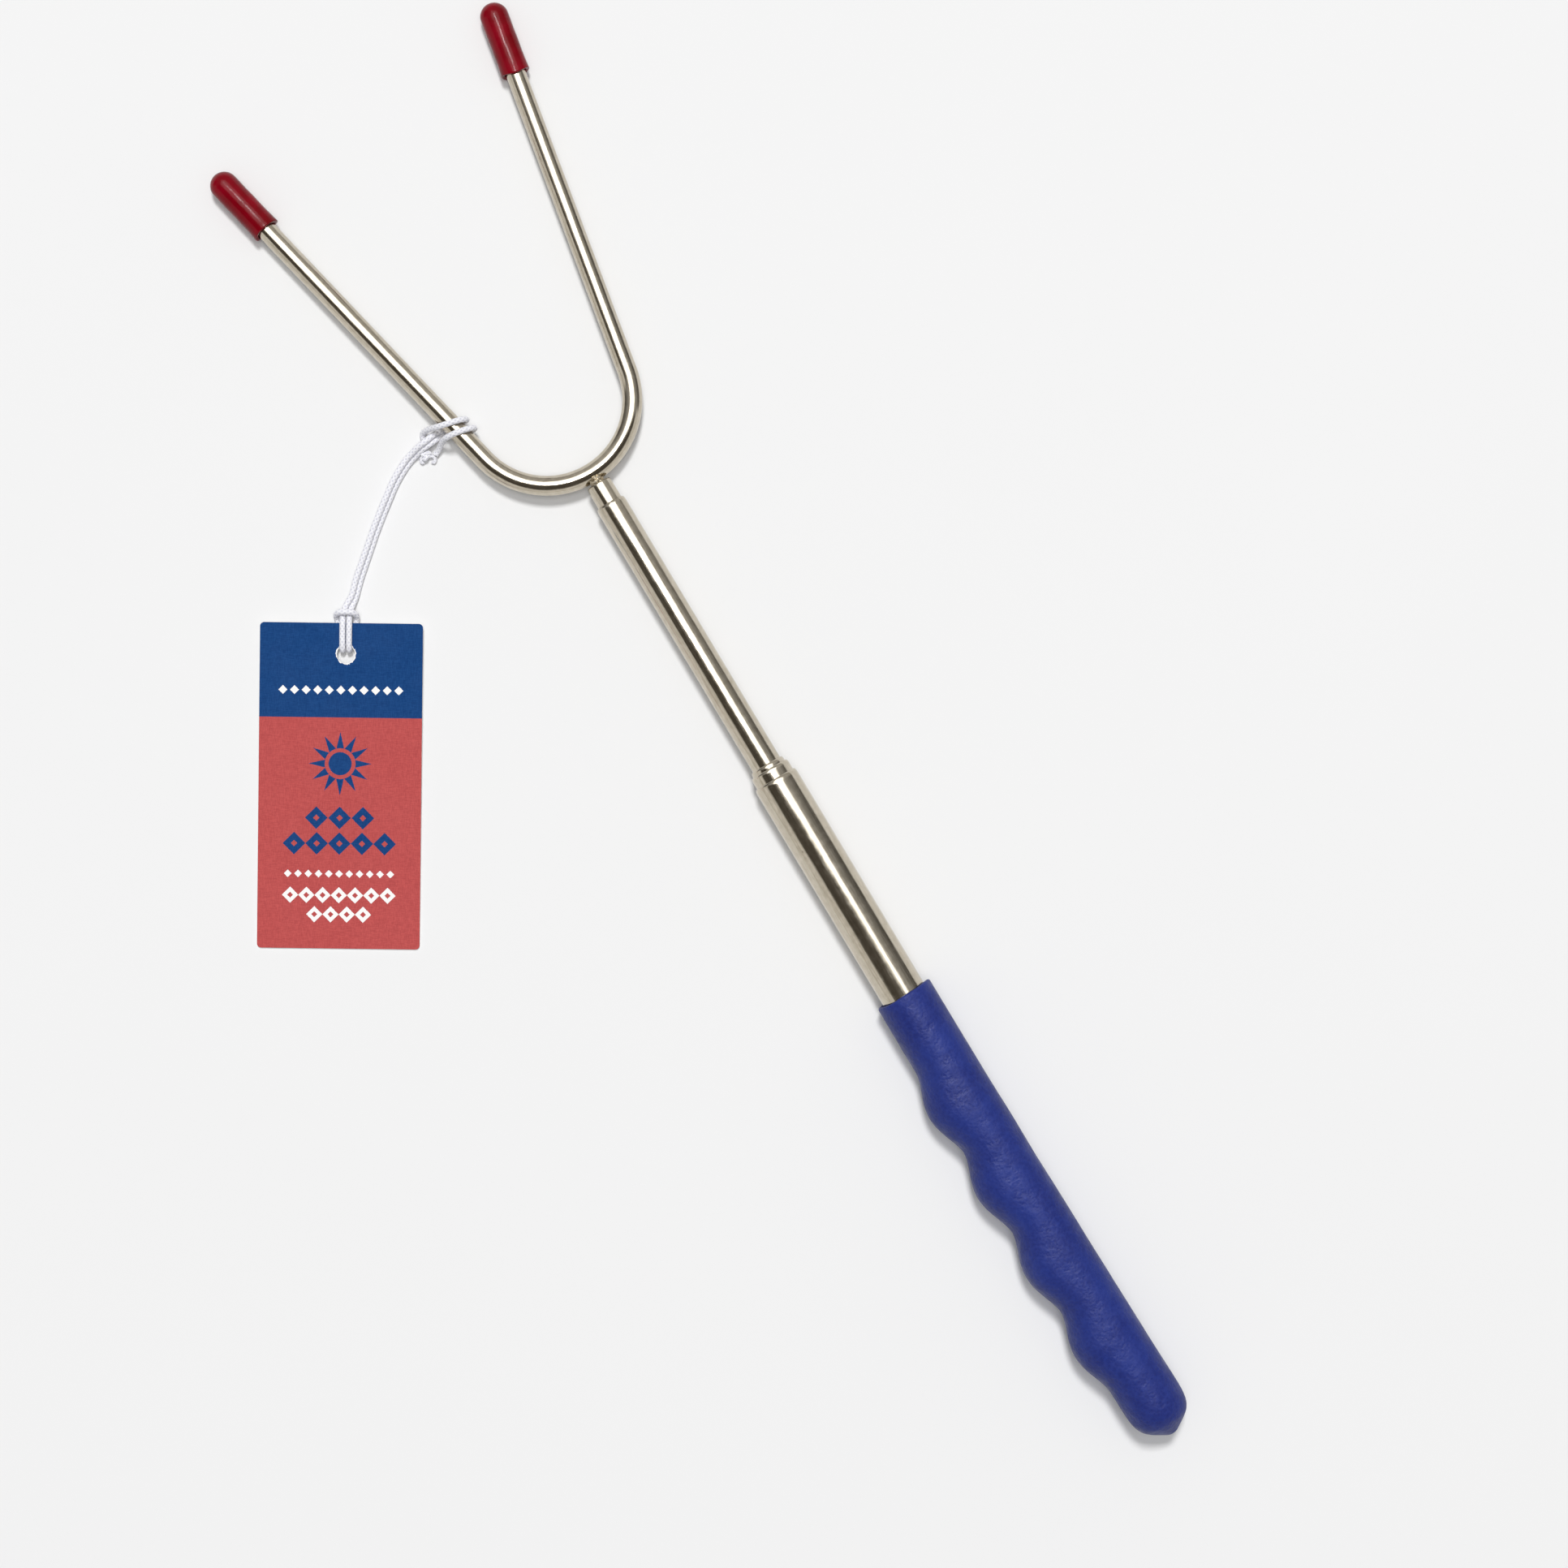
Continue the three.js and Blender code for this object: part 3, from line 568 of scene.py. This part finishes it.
def tag_card(tag_frame):
    """Textured card printed blue over coral, white at its cut edges and at the torn rim of its hole."""
    material, w, shader = new_material("tag_card")
    to_tag = tag_frame.inverted()
    place = w.add("ShaderNodeTexCoord")
    mapping = w.add("ShaderNodeMapping")
    w.put(mapping.inputs["Vector"], place.outputs["Object"])
    mapping.inputs["Location"].default_value = to_tag.to_translation()
    mapping.inputs["Rotation"].default_value = to_tag.to_euler()
    mapping.inputs["Scale"].default_value = to_tag.to_scale()
    on_tag = mapping.outputs[0]
    pattern = w.group(make_print_group(), Place=on_tag)
    surface = w.group(skin, Position=on_tag, Pimple_Scale=1.7, Cloud_Scale=0.1)
    warp = w.noise(w.product(on_tag, (1.0, 9.0, 1.0)), 0.8, 3.0, 0.6)
    weft = w.noise(w.product(on_tag, (9.0, 1.0, 1.0)), 0.8, 3.0, 0.6)
    linen = w.math("MULTIPLY", w.math("ADD", warp, weft), 0.5)
    coral = w.mix(w.ramp(linen, 0.36, 0.64), (0.4, 0.062, 0.062, 1), (0.52, 0.09, 0.086, 1))
    blue = w.mix(w.ramp(linen, 0.36, 0.64), (0.003, 0.038, 0.15, 1), (0.009, 0.06, 0.205, 1))
    white = (0.88, 0.87, 0.86, 1)
    printed = w.mix(pattern.outputs["Blue"], coral, blue)
    printed = w.mix(pattern.outputs["White"], printed, white)
    printed = w.mix(pattern.outputs["Torn"], printed, white)
    front = w.math("GREATER_THAN", w.parts(place.outputs["Normal"])[2], 0.5)
    w.put(shader["Base Color"], w.mix(front, white, printed))
    w.put(shader["Roughness"], w.ramp(surface.outputs["Clouds"], 0.3, 0.7, 0.62, 0.75))
    shader["Specular IOR Level"].default_value = 0.12
    height = w.math("ADD", linen, w.math("MULTIPLY", surface.outputs["Pimples"], 0.2))
    w.put(shader["Normal"], w.bump(height, 0.00006, 0.6))
    return material


def table_top():
    """A plain pale table, with the faintest unevenness."""
    material, w, shader = new_material("table_top")
    cloud = w.noise(millimetres(w), 0.01, 2.0, 0.5)
    w.put(shader["Base Color"], w.mix(cloud, (0.8, 0.8, 0.8, 1), (0.81, 0.81, 0.81, 1)))
    w.put(shader["Roughness"], w.ramp(cloud, 0.3, 0.7, 0.85, 0.95))
    shader["Specular IOR Level"].default_value = 0.0
    return material


# ---------------------------------------------------------------- meshes


def softened(profile, radius, steps=5):
    """The profile with each inner corner rounded by up to that radius."""
    points = [Vector(point) for point in profile]
    made = [points[0]]
    for before, corner, after in zip(points, points[1:], points[2:]):
        start = corner + (before - corner).normalized() * min(radius, (before - corner).length * 0.48)
        end = corner + (after - corner).normalized() * min(radius, (after - corner).length * 0.48)
        for i in range(steps + 1):
            t = i / steps
            made.append((1 - t) ** 2 * start + 2 * t * (1 - t) * corner + t * t * end)
    return [*made, points[-1]]


def divided(profile, step):
    """The profile with extra points, so that none are further apart than the step."""
    made = [Vector(profile[0])]
    for start, end in zip(profile, profile[1:]):
        start, end = Vector(start), Vector(end)
        count = max(1, math.ceil((end - start).length / step))
        made += [start.lerp(end, (i + 1) / count) for i in range(count)]
    return made


def skinned(name, rings, loop=False):
    """A mesh over rings of (point, unrolled place) pairs. A ring with one pair closes an end."""
    bm = bmesh.new()
    layer = bm.verts.layers.float_vector.new("unrolled")
    made = []
    for ring in rings:
        row = []
        for point, unrolled in ring:
            vertex = bm.verts.new(point)
            vertex[layer] = unrolled
            row.append(vertex)
        made.append(row)
    pairs = list(zip(made, made[1:]))
    if loop:
        pairs.append((made[-1], made[0]))
    for low, high in pairs:
        count = max(len(low), len(high))
        for i in range(count):
            j = (i + 1) % count
            corners = [low[i % len(low)], low[j % len(low)], high[j % len(high)], high[i % len(high)]]
            bm.faces.new(list(dict.fromkeys(corners)))
    bmesh.ops.recalc_face_normals(bm, faces=bm.faces)
    mesh = bpy.data.meshes.new(name)
    bm.to_mesh(mesh)
    bm.free()
    return mesh


def turned(profile, sides, shape=None):
    """Rings of a profile of (radius, distance) pairs turned about the pole. shape may move each point."""
    rings = []
    for radius, along in profile:
        ring = []
        for i in range(sides if radius > 1e-6 else 1):
            angle = 2 * math.pi * i / sides
            point = Vector((radius * math.cos(angle), along, radius * math.sin(angle)))
            if shape:
                point = shape(point, radius)
            ring.append((point, Vector((point.x, point.z, along))))
        rings.append(ring)
    return rings


def swept(line, radii, sides):
    """Rings of a round section carried along a line without twist. radii has one radius for each point."""
    rings = []
    travelled = 0.0
    up = Vector((0, 0, 1))
    for i, point in enumerate(line):
        tangent = (line[min(i + 1, len(line) - 1)] - line[max(i - 1, 0)]).normalized()
        up = (up - tangent * up.dot(tangent)).normalized()
        side = tangent.cross(up)
        if i:
            travelled += (point - line[i - 1]).length
        ring = []
        for k in range(sides if radii[i] > 1e-6 else 1):
            angle = 2 * math.pi * k / sides
            x, y = radii[i] * math.cos(angle), radii[i] * math.sin(angle)
            ring.append((point + side * x + up * y, Vector((x, y, travelled))))
        rings.append(ring)
    return rings


def piece(name, mesh, material, body, nodes, place=POLE, sharp=40):
    """A finished piece from a mesh in the pole's or the table's frame, in place of CAD nodes."""
    mesh.transform(place)
    mesh.shade_smooth()
    mesh.set_sharp_from_angle(angle=math.radians(sharp))
    mesh.materials.append(material)
    obj = bpy.data.objects.new(name, mesh)
    bpy.context.collection.objects.link(obj)
    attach(obj, body)
    if nodes:
        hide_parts(*nodes)
    return obj


# ---------------------------------------------------------------- cord


def smooth_line(points, per_span):
    """A centripetal Catmull-Rom line through the points."""
    points = [2 * points[0] - points[1], *points, 2 * points[-1] - points[-2]]
    line = [points[1]]
    for p0, p1, p2, p3 in zip(points, points[1:], points[2:], points[3:]):
        gaps = [max((b - a).length ** 0.5, 1e-4) for a, b in ((p0, p1), (p1, p2), (p2, p3))]
        start = gaps[1] * ((p1 - p0) / gaps[0] - (p2 - p0) / (gaps[0] + gaps[1]) + (p2 - p1) / gaps[1])
        end = gaps[1] * ((p2 - p1) / gaps[1] - (p3 - p1) / (gaps[1] + gaps[2]) + (p3 - p2) / gaps[2])
        for i in range(1, per_span + 1):
            t = i / per_span
            line.append(
                (2 * t**3 - 3 * t**2 + 1) * p1
                + (t**3 - 2 * t**2 + t) * start
                + (3 * t**2 - 2 * t**3) * p2
                + (t**3 - t**2) * end
            )
    return line


def tag_hitch():
    """The whole hitch through the tag's hole: its second half mirrors the first."""
    second = [(-right, up, height) for right, up, height in reversed(TAG_HITCH[3:-1])]
    return [at_tag(*point) for point in [*TAG_HITCH, *second, *TAG_ARRIVAL]]


elastic = cord_elastic()
cord_route = [
    *[at_prong(*point) for point in [*LOWER_WRAP, *LOW_STRAND]],
    *tag_hitch(),
    *[at_prong(*point) for point in [*HIGH_STRAND, *UPPER_WRAP]],
]
cord_line = smooth_line(cord_route, 8)
cord = piece(
    "cord",
    skinned("cord", [*swept(cord_line, [CORD_RADIUS] * len(cord_line), 20)]),
    elastic,
    "fork",
    ["cord_lower_wrap", "cord_low_strand", "cord_tag_hitch", "cord_high_strand", "cord_upper_wrap"],
    place=TABLE,
)


def knot_line(steps=96):
    """A small overhand knot pulled tight, as a three-lobed loop."""
    line = []
    for i in range(steps + 1):
        t = 2 * math.pi * i / steps
        line.append(Vector((
            0.36 * (math.sin(t) + 2 * math.sin(2 * t)),
            0.3 * (math.cos(t) - 2 * math.cos(2 * t)),
            -0.4 * math.sin(3 * t),
        )))
    return line


knot_turn = Matrix.Translation(at_prong(*KNOT_PLACE)) @ Matrix.Rotation(math.pi + HITCH_TURN, 4, "Z")
knot_cord = [knot_turn @ point for point in knot_line()]
knot = piece(
    "knot",
    skinned("knot", swept(knot_cord, [KNOT_CORD] * len(knot_cord), 14)),
    elastic,
    "fork",
    ["cord_knot"],
    place=TABLE,
)


def knot_tail(name, points):
    """A short end of the cord, a little thinner at its cut."""
    line = smooth_line([at_prong(*point) for point in points], 8)
    left = [1 - i / (len(line) - 1) for i in range(len(line))]
    radii = [TAIL_RADIUS * min(1.0, 0.55 + 2.5 * share) for share in left]
    mesh = skinned(name, swept(line, radii, 14))
    return piece(name, mesh, elastic, "fork", [], place=TABLE)


tails = [knot_tail(name, points) for name, points in KNOT_TAILS.items()]

# ---------------------------------------------------------------- grip


def ridge_at(along):
    """How far a finger ridge stands out at that distance from the butt: broad tops and narrow valleys."""
    turn = (GRIP["first_ridge"] - along) / GRIP["ridge_pitch"]
    if not -0.5 < turn < GRIP["ridges"] - 0.5:
        return 0.0
    return GRIP["ridge_height"] * abs(math.cos(math.pi * turn)) ** GRIP["ridge_power"]


def grip_shape(point, radius):
    """Adds the ridges at -X, an uneven edge at the mouth and the slight waviness of soft vinyl.

    The skin also drifts towards +X at the butt, and the bore stays straight.
    """
    along = point.y
    near_mouth = min(1.0, max(0.0, (along - grip_length + 4) / 4))
    angle = math.atan2(point.z, point.x)
    drift = 0.16 * math.sin(2 * angle + 0.6) + 0.07 * math.sin(5 * angle)
    grown, shift = 1.0, 0.0
    on_skin = radius > grip_bore + 0.5
    if on_skin:
        facing = max(0.0, -point.x / radius)
        waves = noise.noise(point * 0.09) * 0.09
        grown += (ridge_at(along) * facing**1.5 + waves) / radius
    if on_skin or along < GRIP["end_wall"] - 0.01:
        shift = GRIP["butt_shift"] * (1 - along / grip_length) ** 2
    return Vector((point.x * grown + shift, along + near_mouth * drift, point.z * grown))


def grip():
    mouth, tail = GRIP["mouth_radius"], GRIP["tail_radius"]
    butt_end = [(0, 0), (1.2, 0.25), (4.4, 2.3), (5.9, 3.6), (6.75, 5.2), (7.15, 7.2), (tail, 9.5)]
    mouth_edge = [(mouth, 60), (mouth, grip_length), (grip_bore, grip_length), (grip_bore, 60)]
    profile = [*softened(butt_end, 0.7), *softened(mouth_edge, GRIP["lip"])[1:]]
    profile = [*divided(profile, GRIP["step"]), (grip_bore, GRIP["end_wall"]), (0, GRIP["end_wall"])]
    mesh = skinned("grip_sleeve", turned(profile, GRIP["sides"], grip_shape))
    piece("grip_sleeve", mesh, grip_vinyl(), "handle", ["grip"])


grip()

# ---------------------------------------------------------------- tubes

tube_steel = drawn_steel("tube_steel", 5.5, 0.1, 0.2)
wire_steel = drawn_steel("wire_steel", 7.0, 0.1, 0.18)


def neck(radius, tail):
    """A sliding section's tail: a flange, a neck for the shims and the full width again."""
    slim = radius - TUBE["neck_depth"]
    start, end = tail + TUBE["flange"], tail + TUBE["neck_end"]
    return [
        (radius, tail),
        (radius, start),
        (slim, start + TUBE["bevel"]),
        (slim, end - TUBE["bevel"]),
        (radius, end),
    ]


def quarter_round(centre, radii, start, steps):
    """Points of a quarter of an ellipse from that angle, as (radius, distance) pairs."""
    angles = [start + math.pi / 2 * i / steps for i in range(steps + 1)]
    return [(centre[0] + radii[0] * math.cos(a), centre[1] + radii[1] * math.sin(a)) for a in angles]


def tube(name, index, body):
    """A thin tube with a rolled mouth that stops the shims of the next one."""
    tail, mouth, radius = tube_spans[index]
    bore = radius - TUBE["wall"]
    throat = tube_spans[index + 1][2] + TUBE["mouth_play"]
    crown = throat + TUBE["crown"]
    if index == 0:
        tail = max(tail, GRIP["end_wall"] + 0.2)
        outside = [(radius, tail), (radius, tail + TUBE["neck_end"])]
    else:
        outside = neck(radius, tail)
    inside = [(r - TUBE["wall"], y) for r, y in reversed(outside)]
    reach = LIP_ROUNDS[index]
    lip = [
        *quarter_round((crown, mouth - reach), (radius - crown, reach), 0, 10),
        *quarter_round((crown, mouth - 0.3), (TUBE["crown"], 0.3), math.pi / 2, 4)[1:],
        (throat, mouth - TUBE["lip"]),
        (bore, mouth - TUBE["lip"] - TUBE["bevel"]),
    ]
    profile = divided([*outside, *lip, *inside, outside[0]], 12)[:-1]
    mesh = skinned(name, turned(profile, TUBE["sides"]), loop=True)
    piece(name, mesh, tube_steel, body, [tube_nodes[index]], sharp=60)


def stem():
    """The fork's stem, closed at its nose, where the fork is welded on."""
    tail, nose, radius = tube_spans[4]
    outside = [*neck(radius, tail), (radius, nose), (0, nose)]
    inside = [(r - TUBE["wall"], y) for r, y in reversed(neck(radius, tail))]
    profile = [(0, nose - STEM_NOSE), (radius - TUBE["wall"], nose - STEM_NOSE), *inside, *outside]
    mesh = skinned("stem", turned(divided(softened(profile, 0.45), 12), TUBE["sides"]))
    piece("stem", mesh, tube_steel, "fork", ["fork_stem"], sharp=60)


tube("outer_sleeve", 0, "handle")
tube("second_section_tube", 1, "second_section")
tube("third_section_tube", 2, "third_section")
tube("fourth_section_tube", 3, "fourth_section")
stem()

bronze = shim_bronze()
for shim in ("second", "third", "fourth", "stem"):
    for half in ("top", "bottom"):
        node = frame["nodes"][f"{shim}_shim_{half}"]
        node.material_slots[0].material = bronze

# ---------------------------------------------------------------- fork


def fork_line():
    """The wire's centre line from the left tip round the bend to the right tip, and its radius there."""
    prong, wire = FORK["prong"], FORK["wire"]
    blunt = [(0.0, 0.0), (0.12, FORK["tip"] * 0.6), (0.45, FORK["tip"]), (FORK["taper"], wire * 0.97)]
    settled = FORK["taper"] + 0.7
    straight = [settled + (prong - settled) * i / 40 for i in range(41)]
    from_tip = [*blunt, *[(distance, wire) for distance in straight]]
    left = [(on_prong(LEFT, prong - distance), radius) for distance, radius in from_tip]
    right = [(on_prong(RIGHT, prong - distance), radius) for distance, radius in reversed(from_tip)]
    start, turn = math.pi + FORK["splay"], math.pi - 2 * FORK["splay"]
    bend = []
    for i in range(1, 80):
        angle = start + turn * i / 80
        point = leaned(FORK["bend"] * math.cos(angle), bend_centre + FORK["bend"] * math.sin(angle))
        bend.append((point, wire))
    return [*left, *bend, *right]


def wire():
    points = fork_line()
    rings = swept([point for point, _ in points], [radius for _, radius in points], 48)
    piece("wire", skinned("wire", rings), wire_steel, "fork", ["fork_wire"])


def weld():
    """A small rippled bead between the stem's nose and the bend, a little thicker than the wire."""
    rings = []
    for i in range(33):
        slope = math.pi * i / 32
        count = 1 if i in (0, 32) else 40
        ring = []
        for k in range(count):
            angle = 2 * math.pi * k / count
            level = math.sin(slope)
            direction = Vector((level * math.cos(angle), level * math.sin(angle), math.cos(slope)))
            swell = 1 + 0.16 * noise.noise(direction * 2.3)
            point = Vector((
                direction.x * WELD["half_width"],
                direction.y * WELD["half_length"],
                direction.z * (FORK["wire"] + WELD["rise"]),
            )) * swell
            point.y += stem_nose + WELD["forward"]
            ring.append((point, point))
        rings.append(ring)
    mesh = skinned("weld_bead", rings)
    piece("weld_bead", mesh, weld_metal(), "fork", ["fork_weld"], sharp=70)


wire()
weld()

# ---------------------------------------------------------------- tip caps

red = cap_vinyl()


def cap(name, side, node, body):
    """A dipped cap with a round end and an uneven rim."""
    tip = FORK["prong"] + CAP["clearance"] + CAP["end_wall"]
    mouth = tip - CAP["length"]
    centre = tip - cap_radius

    def dome(radius, steps, rising):
        angles = [math.pi / 2 * i / steps for i in range(steps + 1)]
        points = [(radius * math.cos(a), centre + radius * math.sin(a)) for a in angles]
        return points if rising else points[::-1]

    def shape(point, radius):
        angle = math.atan2(point.z, point.x)
        near_rim = min(1.0, max(0.0, (mouth + 3 - point.y) / 3))
        drift = 0.22 * math.sin(2 * angle + 1.9 * side) + 0.1 * math.sin(3 * angle)
        grown = 1.0
        if radius > cap_bore + 0.3:
            grown += (0.05 * noise.noise(point * 0.35) + CAP["flare"] * near_rim) / radius
        return Vector((point.x * grown, point.y + drift * near_rim, point.z * grown))

    rim = [(cap_bore, mouth + 6), (cap_bore, mouth), (cap_radius, mouth), (cap_radius, mouth + 6)]
    profile = [*dome(cap_bore, 10, False), *softened(rim, 0.3), *dome(cap_radius, 16, True)]
    profile = divided(profile, 0.8)
    profile[0].x = profile[-1].x = 0
    mesh = skinned(name, turned(profile, CAP["sides"], shape))
    turn = Matrix.Rotation(FORK["lean"] - side * FORK["splay"], 4, "Z")
    mesh.transform(Matrix.Translation(on_prong(side, 0)) @ turn)
    piece(name, mesh, red, body, [node])


cap("left_cap_vinyl", LEFT, "tip_cap_left", "left_cap")
cap("right_cap_vinyl", RIGHT, "tip_cap_right", "right_cap")

# ---------------------------------------------------------------- tag

tag_tilt = math.asin((TAG_HOLE_HEIGHT - TAG_LOW_EDGE) / -TAG["bottom"])
tag_frame = (
    TABLE
    @ Matrix.Translation(tag_hole)
    @ Matrix.Rotation(TAG["turn"], 4, "Z")
    @ Matrix.Rotation(tag_tilt, 4, "X")
)
frame["nodes"]["hang_tag"].material_slots[0].material = tag_card(tag_frame)

# ---------------------------------------------------------------- table and lights


def table_height(along):
    """Level under the tool. Beyond its tips the table falls a little, and clears a pulled-out fork."""
    t = min(1.0, max(0.0, (along - TABLE_FALL["start"]) / TABLE_FALL["run"]))
    return -TABLE_FALL["drop"] * t * t * (3 - 2 * t)


def table():
    bm = bmesh.new()
    bmesh.ops.create_grid(bm, x_segments=4, y_segments=1200, size=TABLE_SIZE)
    for vert in bm.verts:
        vert.co.z = table_height(vert.co.y)
    for face in bm.faces:
        face.smooth = True
    mesh = bpy.data.meshes.new("table")
    bm.to_mesh(mesh)
    bm.free()
    mesh.materials.append(table_top())
    obj = bpy.data.objects.new("table", mesh)
    bpy.context.collection.objects.link(obj)


def softbox(name, place, size, radiance, gloss):
    """A rectangular light over the table, for the reflections only or for all but the reflections."""
    data = bpy.data.lights.new(name, "AREA")
    data.shape = "RECTANGLE"
    data.size, data.size_y = size
    data.energy = radiance * math.pi * size[0] * size[1]
    obj = bpy.data.objects.new(name, data)
    obj.location = place
    obj.rotation_euler = (0, 0, CAMERA_TURN)
    obj.visible_camera = False
    obj.visible_glossy = gloss
    obj.visible_diffuse = not gloss
    bpy.context.collection.objects.link(obj)
    return obj


def world():
    """A dim room, pale low down on the near side and straight ahead, and dark low down at the sides."""
    made = bpy.data.worlds.new("studio")
    made.use_nodes = True
    w = Wiring(made.node_tree)
    background = made.node_tree.nodes["Background"]
    direction = w.add("ShaderNodeTexCoord").outputs["Generated"]
    dot = w.add("ShaderNodeVectorMath", operation="DOT_PRODUCT")
    w.put(dot.inputs[0], direction)
    w.put(dot.inputs[1], (-math.sin(CAMERA_TURN), math.cos(CAMERA_TURN), 0))
    ahead = dot.outputs["Value"]
    height = w.math("MAXIMUM", w.parts(direction)[2], 0.0)
    level = w.math("SQRT", w.math("SUBTRACT", 1.0, w.math("MULTIPLY", height, height)))
    straight_ahead = w.math("DIVIDE", ahead, w.math("MAXIMUM", level, 0.01))
    low_down = w.mix(w.ramp(straight_ahead, 0.5, 0.7), (0.11, 0.105, 0.1, 1), (0.46, 0.45, 0.43, 1))
    far_side = w.mix(w.math("MULTIPLY", height, height), low_down, (0.66, 0.655, 0.65, 1))
    near_side = w.mix(w.ramp(height, 0.52, 0.6), (0.78, 0.77, 0.75, 1), (0.09, 0.08, 0.068, 1))
    room = w.mix(w.ramp(ahead, -0.06, 0.06), near_side, far_side)
    rays = w.add("ShaderNodeLightPath").outputs
    lit = w.mix(rays["Is Camera Ray"], (0.26, 0.26, 0.26, 1), (0.913, 0.913, 0.913, 1))
    w.put(background.inputs["Color"], w.mix(rays["Is Glossy Ray"], lit, room))
    bpy.context.scene.world = made


table()
softbox("strip_softbox", (0.43, 0.69, 1.8), (1.66, 1.44), 2.3, gloss=True)
softbox("strip_core", (0.2, 0.45, 1.74), (0.2, 0.6), 30.0, gloss=True)
softbox("overhead_softbox", (0, -0.1, 3.0), (1.2, 1.2), 5.8, gloss=False)
key = softbox("key_softbox", (1.305, 2.184, 6.0), (1.05, 1.05), 77.6, gloss=False)
key.rotation_euler = key.location.to_track_quat("Z", "Y").to_euler()
world()
